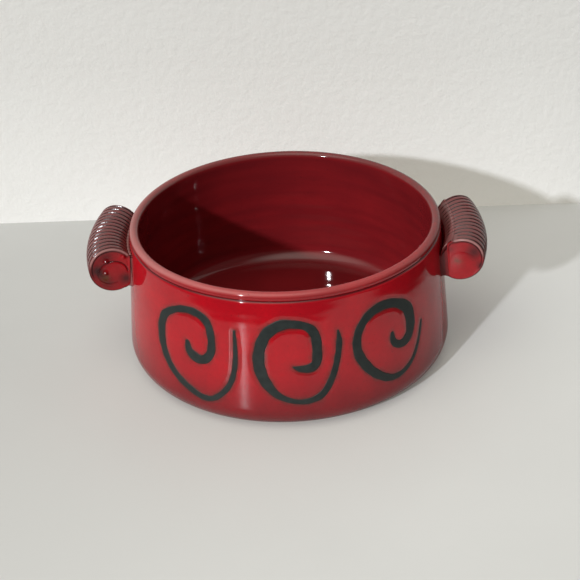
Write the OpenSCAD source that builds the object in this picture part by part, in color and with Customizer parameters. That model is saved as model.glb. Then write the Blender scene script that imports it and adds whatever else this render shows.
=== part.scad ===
// Hand-made stoneware bowl with two ribbed scroll handles and painted scrolls.
// The origin is on the table under the middle of the bowl. +Z is up, the
// handles lie on the X axis, and the front faces -Y.

/* [Bowl] */
// Outer diameter of the rim
rim_d = 190; // [160:1:226]
// Height from the table to the top of the rim
bowl_h = 89; // [74:1:106]
// Thickness of the rim's round edge
rim_t = 5.8; // [4.8:0.1:6.9]
// How far the wall's widest ring stands out past the rim
belly_out = 5.1; // [4.2:0.1:6.1]
// How far the wall's top stands out past the rim, before it turns in
shoulder_out = 0.4; // [0.3:0.1:0.5]
// Height of the turned-in band and the rim above the straight wall
neck_h = 10; // [8.3:0.1:11.9]
// How deep the groove under the rim lies inside the rim's outer face
groove_in = 1.6; // [1.3:0.1:1.9]
// Radius of the rounded bottom corner
corner_r = 14; // [11.6:0.1:16.7]
// Wall thickness just above the floor
wall_low_t = 8; // [6.6:0.1:9.5]
// Thickness of the floor
floor_t = 7; // [5.8:0.1:8.4]
// Radius of the fillet between floor and wall
fillet_r = 10; // [8.3:0.1:11.9]
// Width of the unglazed ring that the bowl stands on
foot_w = 7; // [5.8:0.1:8.4]
// Depth of the hollow inside the foot ring
foot_recess = 2; // [1.6:0.1:2.4]

/* [Left handle] */
// Width of the roll before its inner side is pressed flat
left_roll_w = 28.4; // [23.6:0.1:33.8]
// Height of the roll
left_roll_h = 29.2; // [24.3:0.1:34.8]
// Length of the roll along its middle line
left_roll_len = 58.5; // [48.7:0.1:69.7]
// Drop from the rim's top to the roll's top
left_roll_drop = 3; // [2.5:0.1:3.6]
// How far the roll's inner side is pressed flat
left_roll_press = 3.4; // [2.8:0.1:4.1]
// How far the roll's top leans out past its bottom
left_roll_lean = 2; // [1.6:0.1:2.4]
// Thickness of the neck between the roll's flat and the wall
left_neck_t = 1.3; // [1.1:0.1:1.6]

/* [Right handle] */
// Width of the roll before its inner side is pressed flat
right_roll_w = 27.9; // [23.2:0.1:33.2]
// Height of the roll
right_roll_h = 28.2; // [23.4:0.1:33.6]
// Length of the roll along its middle line
right_roll_len = 58.5; // [48.7:0.1:69.7]
// Drop from the rim's top to the roll's top
right_roll_drop = 4.7; // [3.9:0.1:5.6]
// How far the roll's inner side is pressed flat
right_roll_press = 5.9; // [4.9:0.1:7]
// How far the roll's top leans out past its bottom
right_roll_lean = 3.9; // [3.2:0.1:4.6]
// Thickness of the neck between the roll's flat and the wall
right_neck_t = 5.3; // [4.4:0.1:6.3]

/* [Ribs and ends] */
// Number of ribs on each roll
rib_count = 13; // [9:1:15]
// Depth of the grooves between the ribs
rib_depth = 0.9; // [0.7:0.1:1.1]
// Plain lip at each end of a roll
lip_w = 1.8; // [1.5:0.1:2.2]
// Rounding of the edge round each end
end_r = 1.4; // [1.1:0.1:1.7]
// Depth of the rolled slab's seam in each end
seam_depth = 0.6; // [0.5:0.1:0.7]
// Width of that seam
seam_w = 0.9; // [0.7:0.1:1.1]
// How far that seam keeps from the roll's flat
seam_inset = 1.7; // [1.4:0.1:2]
// How far the neck's ends stay behind the roll's ends
neck_short = 0.4; // [0.3:0.05:0.5]

/* [Painted scrolls] */
// Depth of the channel that each painted line lies in
line_depth = 0.7; // [0.6:0.1:0.8]
// How far a line's face lies below the glaze around it
line_sunk = 0.3; // [0.25:0.05:0.35]
// Narrowest gap between the left and the middle scroll
left_scroll_gap = 7.3; // [6.1:0.1:8.7]
// Narrowest gap between the middle and the right scroll
right_scroll_gap = 4.9; // [4.1:0.1:5.8]

/* [Hidden] */

glaze_red = [0.68, 0.11, 0.11];
rib_brown = [0.42, 0.22, 0.22];
line_black = [0.15, 0.18, 0.18];

turn = 360;
revolve_sides = 240;
overrun = 1;

// Clearance that keeps seated clay faces from cutting into one another
seat_gap = 0.02;

// The bowl's outline. The straight wall leans in from the belly to the shoulder.
rim_r = rim_d / 2;
bead_r = rim_t / 2;
bead_centre = [rim_r - bead_r, bowl_h - bead_r];
belly_r = rim_r + belly_out;
belly_z = corner_r;
shoulder_r = rim_r + shoulder_out;
shoulder_z = bowl_h - neck_h;
wall_lean = (belly_r - shoulder_r) / (shoulder_z - belly_z);
lean_angle = atan(wall_lean);
corner_centre = [belly_r - corner_r * cos(lean_angle), belly_z - corner_r * sin(lean_angle)];
foot_angle = asin(corner_centre[1] / corner_r);
foot_r = corner_centre[0] + corner_r * cos(foot_angle);
floor_z = foot_recess + floor_t;
inner_low_r = belly_r - wall_low_t;
bead_start_angle = -60;
corner_steps = 12;
bead_steps = 24;
shoulder_steps = 5;
fillet_steps = 10;

function mix(a, b, t) = a + (b - a) * t;
function arc(centre, r, from, to, steps) =
    [for (i = [0:steps]) let (a = mix(from, to, i / steps)) centre + r * [cos(a), sin(a)]];
function bend(a, b, c, steps) =
    [for (i = [0:steps]) let (t = i / steps) mix(mix(a, b, t), mix(b, c, t), t)];

// Outer radius of the straight wall at a height
function wall_r(z) = belly_r - wall_lean * (z - belly_z);

function bowl_outline() =
    let (bead_start = bead_centre + bead_r * [cos(bead_start_angle), sin(bead_start_angle)],
         groove = [rim_r - groove_in, bead_start[1]],
         turn_in = [wall_r(mix(shoulder_z, groove[1], 0.6)), mix(shoulder_z, groove[1], 0.6)])
    concat([[0, foot_recess],
            [foot_r - foot_w - foot_recess, foot_recess],
            [foot_r - foot_w, 0]],
           arc(corner_centre, corner_r, -foot_angle, lean_angle, corner_steps),
           bend([shoulder_r, shoulder_z], turn_in, groove, shoulder_steps),
           arc(bead_centre, bead_r, bead_start_angle, turn / 2, bead_steps),
           arc([inner_low_r - fillet_r, floor_z + fillet_r], fillet_r, 0, -turn / 4, fillet_steps),
           [[0, floor_z]]);

// The scrolls, drawn as a brush would: each row is a place along the stroke, sideways
// and upwards from the scroll's middle, and the stroke's width there, all as shares of
// the scroll's half height.
scroll_half_h = 0.4 * (shoulder_z - belly_z);
scroll_middle_z = mix(belly_z, shoulder_z, 0.47);
open_scroll_shares = [
    [-0.19, 0.19, 0.13], [-0.13, -0.02, 0.23], [0.08, -0.14, 0.25], [0.28, -0.11, 0.21],
    [0.43, 0.08, 0.21], [0.46, 0.38, 0.19], [0.38, 0.78, 0.20], [0.14, 0.98, 0.20],
    [-0.25, 1.00, 0.17], [-0.65, 0.84, 0.16], [-0.93, 0.58, 0.22], [-1.02, 0.15, 0.25],
    [-0.93, -0.32, 0.22], [-0.62, -0.72, 0.19], [-0.16, -0.98, 0.17], [0.22, -1.10, 0.15],
    [0.52, -1.04, 0.13], [0.82, -0.74, 0.13], [0.98, -0.35, 0.12], [1.03, 0.15, 0.11],
    [1.01, 0.74, 0.06]];
broad_scroll_shares = [
    [-0.04, -0.10, 0.05], [0.12, -0.15, 0.17], [0.34, -0.14, 0.22], [0.47, 0.00, 0.22],
    [0.49, 0.30, 0.22], [0.46, 0.64, 0.22], [0.31, 0.86, 0.20], [0.01, 0.96, 0.20],
    [-0.32, 0.94, 0.26], [-0.62, 0.72, 0.26], [-0.78, 0.34, 0.25], [-0.81, -0.05, 0.27],
    [-0.69, -0.46, 0.25], [-0.42, -0.80, 0.17], [-0.02, -0.97, 0.12], [0.33, -0.96, 0.15],
    [0.61, -0.80, 0.17], [0.82, -0.42, 0.15], [0.94, 0.02, 0.14], [0.99, 0.42, 0.13],
    [0.97, 0.68, 0.04]];
round_scroll_shares = [
    [-0.02, 0.17, 0.09], [0.00, -0.03, 0.18], [0.14, -0.17, 0.18], [0.36, -0.18, 0.25],
    [0.54, -0.02, 0.27], [0.58, 0.28, 0.31], [0.48, 0.62, 0.29], [0.15, 0.87, 0.22],
    [-0.25, 0.96, 0.24], [-0.62, 0.85, 0.22], [-0.88, 0.55, 0.20], [-0.96, 0.15, 0.21],
    [-0.87, -0.20, 0.23], [-0.62, -0.58, 0.22], [-0.26, -0.87, 0.19], [0.06, -0.95, 0.14],
    [0.38, -0.88, 0.12], [0.64, -0.69, 0.11], [0.84, -0.36, 0.09], [0.98, 0.05, 0.06]];
stroke_steps = 2;
cap_steps = 4;

// Angle round the wall that a scroll takes up on its right (side 1) or left (side -1)
function side_angle(shares, side) =
    asin(scroll_half_h * max([for (row = shares) side * row[0] + row[2] / 2]) / shoulder_r);
// Angle between two neighbouring scrolls with a gap between them
function pitch_angle(left_shares, gap, right_shares) =
    side_angle(left_shares, 1) + gap / shoulder_r * 180 / PI + side_angle(right_shares, -1);
left_pitch = pitch_angle(open_scroll_shares, left_scroll_gap, broad_scroll_shares);
right_pitch = pitch_angle(broad_scroll_shares, right_scroll_gap, round_scroll_shares);

// A smooth curve through a list of points, with the given steps from each to the next
function curve(p, steps) =
    let (last = len(p) - 1)
    concat([for (i = [0:last - 1], k = [0:steps - 1])
                let (a = p[max(i - 1, 0)], b = p[i], c = p[i + 1], d = p[min(i + 2, last)], t = k / steps)
                (2 * b + (c - a) * t + (2 * a - 5 * b + 4 * c - d) * pow(t, 2)
                 + (3 * b - a - 3 * c + d) * pow(t, 3)) / 2],
           [p[last]]);

function heading(a, b) = atan2(b[1] - a[1], b[0] - a[0]);

// The outline of a stroke: up its left side, round its end, and back down its right side
function stroke_outline(shares) =
    let (line = curve(shares * scroll_half_h, stroke_steps),
         last = len(line) - 1,
         way = [for (i = [0:last]) heading(line[max(i - 1, 0)], line[min(i + 1, last)])],
         side = function (i, s) [line[i][0], line[i][1]]
                + s * line[i][2] / 2 * [-sin(way[i]), cos(way[i])])
    concat([for (i = [0:last]) side(i, 1)],
           [for (k = [1:cap_steps - 1])
                [line[last][0], line[last][1]]
                + line[last][2] / 2 * [cos(way[last] + 90 - k * 180 / cap_steps),
                                       sin(way[last] + 90 - k * 180 / cap_steps)]],
           [for (i = [last:-1:0]) side(i, -1)],
           [for (k = [1:cap_steps - 1])
                [line[0][0], line[0][1]]
                + line[0][2] / 2 * [cos(way[0] - 90 - k * 180 / cap_steps),
                                    sin(way[0] - 90 - k * 180 / cap_steps)]]);

// A stroke's outline pushed straight through the wall at an angle round the bowl
module stroke_prism(angle, shares)
    rotate([0, 0, angle])
        translate([rim_r / 2, 0, scroll_middle_z])
            rotate([90, 0, 90])
                linear_extrude(rim_r)
                    polygon(stroke_outline(shares));

// The straight wall's outer skin between two depths
module wall_skin(outer_depth, inner_depth)
    rotate_extrude($fn = revolve_sides)
        polygon([[wall_r(belly_z) - outer_depth, belly_z],
                 [wall_r(shoulder_z) - outer_depth, shoulder_z],
                 [wall_r(shoulder_z) - inner_depth, shoulder_z],
                 [wall_r(belly_z) - inner_depth, belly_z]]);

front_angle = -87;
back_angle = front_angle + turn / 2;
module channels() {
    intersection() {
        wall_skin(-overrun, line_depth);
        union() {
            stroke_prism(front_angle - left_pitch, open_scroll_shares);
            stroke_prism(front_angle, broad_scroll_shares);
            stroke_prism(front_angle + right_pitch, round_scroll_shares);
            stroke_prism(back_angle - left_pitch, open_scroll_shares);
            stroke_prism(back_angle, broad_scroll_shares);
            stroke_prism(back_angle + right_pitch, round_scroll_shares);
        }
    }
}

module scroll(angle, shares)
    color(line_black)
        intersection() {
            wall_skin(line_sunk, line_depth);
            stroke_prism(angle, shares);
        }

module bowl_body()
    color(glaze_red)
        difference() {
            rotate_extrude($fn = revolve_sides)
                polygon(bowl_outline());
            channels();
        }

// A handle's sizes: roll width, height and length, drop below the rim, neck thickness,
// how far the roll is pressed flat, and its lean
left_handle = [left_roll_w, left_roll_h, left_roll_len, left_roll_drop, left_neck_t,
               left_roll_press, left_roll_lean];
right_handle = [right_roll_w, right_roll_h, right_roll_len, right_roll_drop, right_neck_t,
                right_roll_press, right_roll_lean];

function roll_z(h) = bowl_h - h[3] - h[1] / 2;
function roll_centre_r(h) = wall_r(roll_z(h)) + h[4] + h[0] / 2 - h[5];

// The roll's section is a leaning ellipse with this many corners, whose inner side is
// pressed flat, parallel to the wall. A point is given as its radius from the bowl's axis
// and its height, sunk by a depth.
section_sides = 32;
function section_angle(j) = j * turn / section_sides;
function free_point(h, j, sunk) =
    let (a = section_angle(j))
    [roll_centre_r(h) + (h[0] / 2 - sunk) * cos(a) + h[6] / 2 * sin(a),
     roll_z(h) + (h[1] / 2 - sunk) * sin(a)];
function flat_r(h, z) = wall_r(z) + h[4];
function section_point(h, j, sunk) =
    let (p = free_point(h, j, sunk))
    [max(p[0], flat_r(h, p[1]) + sunk), p[1]];

// The neck covers the section's corners from the last one above the flat to one on the
// underside, and the ribs fade out before them
neck_last = 22;
function neck_first(h) =
    [for (j = [section_sides / 4:section_sides / 2])
        if (free_point(h, j, 0)[0] < flat_r(h, free_point(h, j, 0)[1])) j][0] - 1;
rib_fade = 16;
function rib_share(h, j) =
    let (a = section_angle(j), top = section_angle(neck_first(h)), under = section_angle(neck_last))
    min(1, max(0, (top - a) / rib_fade, (a - under) / rib_fade));

// The rings along a roll: [place along it, sunk all round, groove depth]
rib_phases = [0, 0.2, 0.5, 0.8];
groove_shares = [1, 0.35, 0, 0.35];
end_steps = 3;
function end_rings(half, s) =
    [for (k = [0:end_steps])
        let (a = 90 * k / end_steps)
        [s * (half - end_r * (1 - cos(a))), end_r * (1 - sin(a)), 0]];
function rib_rings(half) =
    let (ribbed = half - lip_w, pitch = 2 * ribbed / rib_count)
    concat([for (i = [0:rib_count - 1], k = [0:len(rib_phases) - 1])
                [-ribbed + (i + rib_phases[k]) * pitch, 0, groove_shares[k] * rib_depth]],
           [[ribbed, 0, rib_depth]]);
function roll_rings(h) =
    concat(end_rings(h[2] / 2, -1), rib_rings(h[2] / 2),
           [for (k = [end_steps:-1:0]) end_rings(h[2] / 2, 1)[k]]);

// The roll bends round the bowl, so a place along it is an angle round the bowl's axis
function along_angle(h, s) = s / roll_centre_r(h) * 180 / PI;

module roll_body(h) {
    rings = roll_rings(h);
    rib_shares = [for (j = [0:section_sides - 1]) rib_share(h, j)];
    count = len(rings);
    points = [for (ring = rings, j = [0:section_sides - 1])
        let (p = section_point(h, j, ring[1] + ring[2] * rib_shares[j]), a = along_angle(h, ring[0]))
        [p[0] * cos(a), p[0] * sin(a), p[1]]];
    sides = [for (i = [0:count - 2], j = [0:section_sides - 1], part = [0, 1])
        let (a = i * section_sides + j,
             b = i * section_sides + (j + 1) % section_sides,
             c = b + section_sides,
             d = a + section_sides)
        part == 0 ? [a, b, c] : [a, c, d]];
    first = [for (j = [section_sides - 1:-1:0]) j];
    last = [for (j = [0:section_sides - 1]) (count - 1) * section_sides + j];
    polyhedron(points, concat(sides, [first, last]));
}

// The seam where the slab's last wrap lies on the wraps inside it: it starts at the neck,
// goes over the top and down the outer side, and winds in a little. Its middle lies below
// the roll's.
seam_turns = 0.8;
seam_start_angle = 178;
seam_width_share = 0.75;
seam_height_share = 0.53;
seam_drop_share = 0.14;
seam_wind_share = 0.12;
seam_steps = 24;
function seam_place(h, t, offset) =
    let (a = seam_start_angle - t * seam_turns * turn,
         wind = 1 - seam_wind_share * t,
         half_w = (h[0] - h[5]) / 2 * seam_width_share,
         middle = h[5] - h[0] / 2 + seam_inset + half_w)
    [middle + (half_w * wind + offset) * cos(a),
     (h[1] / 2 * seam_height_share * wind + offset) * sin(a) - h[1] / 2 * seam_drop_share];

module seam(h, s)
    rotate([0, 0, along_angle(h, s * h[2] / 2)])
        translate([roll_centre_r(h), 0, roll_z(h)])
            rotate([90, 0, 0])
                linear_extrude(2 * seam_depth, center = true)
                    polygon(concat(
                        [for (i = [0:seam_steps]) seam_place(h, i / seam_steps, seam_w / 2)],
                        [for (i = [seam_steps:-1:0]) seam_place(h, i / seam_steps, -seam_w / 2)]));

module handle_roll(h)
    color(rib_brown)
        difference() {
            roll_body(h);
            seam(h, -1);
            seam(h, 1);
        }

// The slab's plain end: it fills the space between the roll and the wall, from the
// slope above down to the slightly hollow underside
neck_slope = 46;
neck_steps = 4;
function neck_outline(h) =
    let (roll_side = [for (j = [neck_first(h):neck_last]) section_point(h, j, -seat_gap)],
         top = roll_side[0],
         under = roll_side[len(roll_side) - 1],
         rise = roll_side[len(roll_side) - 2][1] - under[1],
         top_wall_z = top[1] - tan(neck_slope) * (top[0] - wall_r(top[1])),
         under_wall = [wall_r(under[1]) + seat_gap, under[1]],
         hollow = [mix(under[0], under_wall[0], 0.5), under[1] + rise / 2])
    concat([[wall_r(top_wall_z) + seat_gap, top_wall_z]],
           roll_side,
           bend(under, hollow, under_wall, neck_steps));

module handle_neck(h) {
    half_angle = along_angle(h, h[2] / 2 - neck_short);
    color(rib_brown)
        rotate([0, 0, -half_angle])
            rotate_extrude(angle = 2 * half_angle, $fn = revolve_sides)
                polygon(neck_outline(h));
}

module left_side() rotate([0, 0, turn / 2]) children();

bowl_body();
left_side() handle_roll(left_handle);  // left_handle_roll
left_side() handle_neck(left_handle);  // left_handle_neck
handle_roll(right_handle);  // right_handle_roll
handle_neck(right_handle);  // right_handle_neck
scroll(front_angle - left_pitch, open_scroll_shares);  // front_left_scroll
scroll(front_angle, broad_scroll_shares);  // front_middle_scroll
scroll(front_angle + right_pitch, round_scroll_shares);  // front_right_scroll
scroll(back_angle - left_pitch, open_scroll_shares);  // back_left_scroll
scroll(back_angle, broad_scroll_shares);  // back_middle_scroll
scroll(back_angle + right_pitch, round_scroll_shares);  // back_right_scroll
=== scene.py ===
import math
from collections import namedtuple

import bpy
import numpy as np
from mathutils import Matrix, Vector


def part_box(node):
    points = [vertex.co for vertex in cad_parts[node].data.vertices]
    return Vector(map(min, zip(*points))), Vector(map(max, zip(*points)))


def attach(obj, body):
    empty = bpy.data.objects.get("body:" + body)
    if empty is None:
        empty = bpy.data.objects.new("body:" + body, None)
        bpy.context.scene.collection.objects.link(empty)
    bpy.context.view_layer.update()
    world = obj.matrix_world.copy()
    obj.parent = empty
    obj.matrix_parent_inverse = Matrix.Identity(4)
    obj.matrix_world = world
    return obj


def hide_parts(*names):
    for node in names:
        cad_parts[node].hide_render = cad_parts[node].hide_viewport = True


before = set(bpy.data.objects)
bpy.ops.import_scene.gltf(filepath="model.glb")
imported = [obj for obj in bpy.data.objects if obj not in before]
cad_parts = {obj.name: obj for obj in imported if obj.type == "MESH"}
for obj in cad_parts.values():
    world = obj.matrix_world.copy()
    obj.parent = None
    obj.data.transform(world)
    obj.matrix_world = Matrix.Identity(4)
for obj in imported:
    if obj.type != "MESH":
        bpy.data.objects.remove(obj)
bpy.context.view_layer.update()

# Measures in mm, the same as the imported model's
MM = 0.001
TURN = 2 * math.pi
BOWL_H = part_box("bowl_body")[1][2] / MM
RIM_R = 95.0
RIM_T = 5.8
BELLY_OUT = 5.1
SHOULDER_OUT = 0.4
NECK_H = 10.0
GROOVE_IN = 1.6
CORNER_R = 14.0
WALL_LOW_T = 8.0
FLOOR_T = 7.0
FILLET_R = 10.0
FOOT_W = 7.0
FOOT_RECESS = 2.0
LINE_DEPTH = 0.7

BEAD_R = RIM_T / 2
BEAD_C = (RIM_R - BEAD_R, BOWL_H - BEAD_R)
BELLY_R = RIM_R + BELLY_OUT
BELLY_Z = CORNER_R
SHOULDER_R = RIM_R + SHOULDER_OUT
SHOULDER_Z = BOWL_H - NECK_H
GROOVE_R = RIM_R - GROOVE_IN
LEAN = (BELLY_R - SHOULDER_R) / (SHOULDER_Z - BELLY_Z)
LEAN_ANGLE = math.atan(LEAN)
CORNER_C = (BELLY_R - CORNER_R * math.cos(LEAN_ANGLE), BELLY_Z - CORNER_R * math.sin(LEAN_ANGLE))
FOOT_R = CORNER_C[0] + math.sqrt(CORNER_R ** 2 - CORNER_C[1] ** 2)
FLOOR_Z = FOOT_RECESS + FLOOR_T
INNER_LOW_R = BELLY_R - WALL_LOW_T

# The painted scrolls: places along each stroke and its width there, in hundredths of a
# scroll's half height, the angle of the front middle one, and the gaps between neighbours
STRAIGHT_H = SHOULDER_Z - BELLY_Z
SCROLL_HALF_H = 0.4 * STRAIGHT_H
SCROLL_Z = BELLY_Z + 0.47 * STRAIGHT_H
FRONT = -87.0
LEFT_GAP = 7.3
RIGHT_GAP = 4.9
OPEN_SCROLL = [
    (-19, 19, 13), (-13, -2, 23), (8, -14, 25), (28, -11, 21), (43, 8, 21), (46, 38, 19),
    (38, 78, 20), (14, 98, 20), (-25, 100, 17), (-65, 84, 16), (-93, 58, 22), (-102, 15, 25),
    (-93, -32, 22), (-62, -72, 19), (-16, -98, 17), (22, -110, 15), (52, -104, 13), (82, -74, 13),
    (98, -35, 12), (103, 15, 11), (101, 74, 6)]
BROAD_SCROLL = [
    (-4, -10, 5), (12, -15, 17), (34, -14, 22), (47, 0, 22), (49, 30, 22), (46, 64, 22),
    (31, 86, 20), (1, 96, 20), (-32, 94, 26), (-62, 72, 26), (-78, 34, 25), (-81, -5, 27),
    (-69, -46, 25), (-42, -80, 17), (-2, -97, 12), (33, -96, 15), (61, -80, 17), (82, -42, 15),
    (94, 2, 14), (99, 42, 13), (97, 68, 4)]
ROUND_SCROLL = [
    (-2, 17, 9), (0, -3, 18), (14, -17, 18), (36, -18, 25), (54, -2, 27), (58, 28, 31),
    (48, 62, 29), (15, 87, 22), (-25, 96, 24), (-62, 85, 22), (-88, 55, 20), (-96, 15, 21),
    (-87, -20, 23), (-62, -58, 22), (-26, -87, 19), (6, -95, 14), (38, -88, 12), (64, -69, 11),
    (84, -36, 9), (98, 5, 6)]


def side_angle(shares, side):
    """Angle round the wall that a scroll takes up on its right (side 1) or left (side -1)."""
    reach = max(side * x + width / 2 for x, z, width in shares) / 100
    return math.degrees(math.asin(SCROLL_HALF_H * reach / SHOULDER_R))


def pitch_angle(left_shares, gap, right_shares):
    """Angle between two neighbouring scrolls with a gap between them."""
    return side_angle(left_shares, 1) + math.degrees(gap / SHOULDER_R) + side_angle(right_shares, -1)


TRIO = {
    "left": (-pitch_angle(OPEN_SCROLL, LEFT_GAP, BROAD_SCROLL), OPEN_SCROLL),
    "middle": (0.0, BROAD_SCROLL),
    "right": (pitch_angle(BROAD_SCROLL, RIGHT_GAP, ROUND_SCROLL), ROUND_SCROLL),
}
SCROLLS = {f"{face}_{side}_scroll": (angle + pitch, table)
           for face, angle in (("front", FRONT), ("back", FRONT + 180))
           for side, (pitch, table) in TRIO.items()}

# The handles. Drop is measured from the rim's top, neck is the neck's thickness, press is
# how far the roll's inner side is pressed flat, lean is how far its top leans out, and
# neck_top is the angle on the section where the neck's slope meets the roll. Rib is the
# depth between the ribs, which run on to there and end rib_short degrees earlier at the
# front. Turn is the handle's angle round the bowl, and seed shifts its unevenness.
Handle = namedtuple(
    "Handle", "width height length drop neck press lean neck_top rib rib_short turn seed")
HANDLES = {
    "left": Handle(28.4, 29.2, 58.5, 3.0, 1.3, 3.4, 2.0, 148.0, 1.45, 0.0, math.pi, 0.0),
    "right": Handle(27.9, 28.2, 58.5, 4.7, 5.3, 5.9, 3.9, 122.0, 1.0, 10.0, 0.0, 1.7),
}
NECK_UNDER = 247.5
NECK_SLOPE = math.radians(46)
NECK_SHORT = 0.4
RIB_COUNT = 13
RIB_FADE = 7.0
GROOVE_HALF_W = 0.87
RIPPLE = 0.02
LIP_W = 1.8
END_R = 1.0
SEAM_DEPTH = 0.6
SEAM_W = 0.9
SEAM_INSET = 1.7

# The ends of each roll: how strong the seam is, and the places of dark patches that are painted
# shade and dark reflections, a dimple and drops, outwards and upwards from the roll's middle, with
# their reach and strength or depth.
# Each end face lies in behind its lip and bulges a little in the middle.
SEAM_SHARES = {"left": 1.0, "right": 0.12}
END_PAINTED_SHADES = {
    "left": [(9.5, 1.0, 4.5, 0.9), (-7.5, -7.0, 3.8, 0.85), (4.0, -8.0, 4.5, 0.6),
             (3.0, 8.5, 4.0, 0.6), (6.5, -3.0, 3.0, 0.4)],
    "right": [(8.0, 6.0, 5.5, 0.8), (12.5, -3.0, 3.0, 0.8), (-7.0, 6.0, 2.5, 0.4)],
}
END_DIMPLES = {"left": (4.8, -4.6, 2.0, 0.35), "right": (-2.2, -1.8, 2.2, 0.03)}
END_DROPS = {"left": [(3.4, 6.0), (-7.4, 7.6), (4.4, -1.6)], "right": []}
DROP_R, DROP_H = 1.15, 1.05
END_SINK, END_STEP = 0.15, 0.45
PILLOW_PLACE, PILLOW_R, PILLOW_H = (0.5, -1.5), 7.0, 0.40


def smoothstep(t):
    t = np.clip(t, 0, 1)
    return t * t * (3 - 2 * t)


def within(value, low, rise, high, fall):
    """1 between low and high, fading to 0 over a stretch at each end."""
    return smoothstep((value - low) / rise) * smoothstep((high - value) / fall)


def hill(distance, width):
    """1 at no distance, fading to 0 over about the given width."""
    return np.exp(-(distance / width) ** 2)


def soft_max(a, b, width):
    """The larger of two values, rounded off where they are about the same."""
    return (a + b + np.sqrt((a - b) ** 2 + width ** 2)) / 2


def arc(centre, radius, start, end, steps):
    a = np.radians(np.linspace(start, end, steps + 1))
    return [(centre[0] + radius * math.cos(v), centre[1] + radius * math.sin(v)) for v in a]


def bend(a, b, c, steps):
    """A curve from a to c that is pulled towards b."""
    a, b, c = map(np.array, (a, b, c))
    ways = np.linspace(0, 1, steps + 1)
    return [tuple((1 - t) ** 2 * a + 2 * t * (1 - t) * b + t * t * c) for t in ways]


def curve(points, steps):
    """A smooth curve through the rows of a table."""
    p = np.asarray(points, float)
    last = len(p) - 1
    out = []
    for i in range(last):
        a, b, c, d = p[max(i - 1, 0)], p[i], p[i + 1], p[min(i + 2, last)]
        for t in np.arange(steps) / steps:
            out.append((2 * b + (c - a) * t + (2 * a - 5 * b + 4 * c - d) * t ** 2
                        + (3 * b - a - 3 * c + d) * t ** 3) / 2)
    out.append(p[last])
    return np.array(out)


# How far the hand-thrown wall strays from round at the rim, and how the rim rises and falls:
# the number of waves round the bowl, their height in mm and their phase
WALL_WAVES = ((2, 0.22, 0.7), (3, 0.12, 2.1), (5, 0.05, 0.3))
RIM_WAVES = ((2, 0.16, 1.9), (3, 0.08, 0.4))
RIM_SINK = 0.2
RIM_WAVE_Z, RIM_WAVE_RISE = 60.0, 25.0


def waves(table, angle):
    return sum(height * np.cos(count * angle + phase) for count, height, phase in table)


def wobble(angle, z):
    """How far the wall strays from round at an angle and height."""
    return np.clip(z / BOWL_H, 0, 1) ** 1.5 * waves(WALL_WAVES, angle)


def rim_wave(angle, z):
    """How far the rim rises and falls. The wall follows it from some way down."""
    return smoothstep((z - RIM_WAVE_Z) / RIM_WAVE_RISE) * (waves(RIM_WAVES, angle) - RIM_SINK)


def make_object(name, points, faces, attributes=()):
    """A smooth mesh object from points in mm, with named values on its points."""
    mesh = bpy.data.meshes.new(name)
    mesh.from_pydata((np.asarray(points) * MM).tolist(), [], faces)
    mesh.polygons.foreach_set("use_smooth", np.ones(len(mesh.polygons), bool))
    for key, values in dict(attributes).items():
        layer = mesh.attributes.new(key, "FLOAT", "POINT")
        layer.data.foreach_set("value", np.asarray(values, np.float32))
    mesh.update()
    obj = bpy.data.objects.new(name, mesh)
    bpy.context.scene.collection.objects.link(obj)
    return obj


def stitch(counts):
    """Faces between rings of the given counts, which are equal or whole multiples, and both caps."""
    starts = np.cumsum([0] + list(counts))
    faces = []
    for i in range(len(counts) - 1):
        n, m = counts[i], counts[i + 1]
        a, b = int(starts[i]), int(starts[i + 1])
        if n <= m:
            f = m // n
            for j in range(n):
                fan = [b + (j * f + q) % m for q in range(f, -1, -1)]
                faces.append([a + j, a + (j + 1) % n] + fan)
        else:
            f = n // m
            for j in range(m):
                fan = [a + (j * f + q) % n for q in range(f + 1)]
                faces.append(fan + [b + (j + 1) % m, b + j])
    faces.append(list(range(counts[0] - 1, -1, -1)))
    faces.append([int(starts[-2]) + j for j in range(counts[-1])])
    return faces


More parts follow.
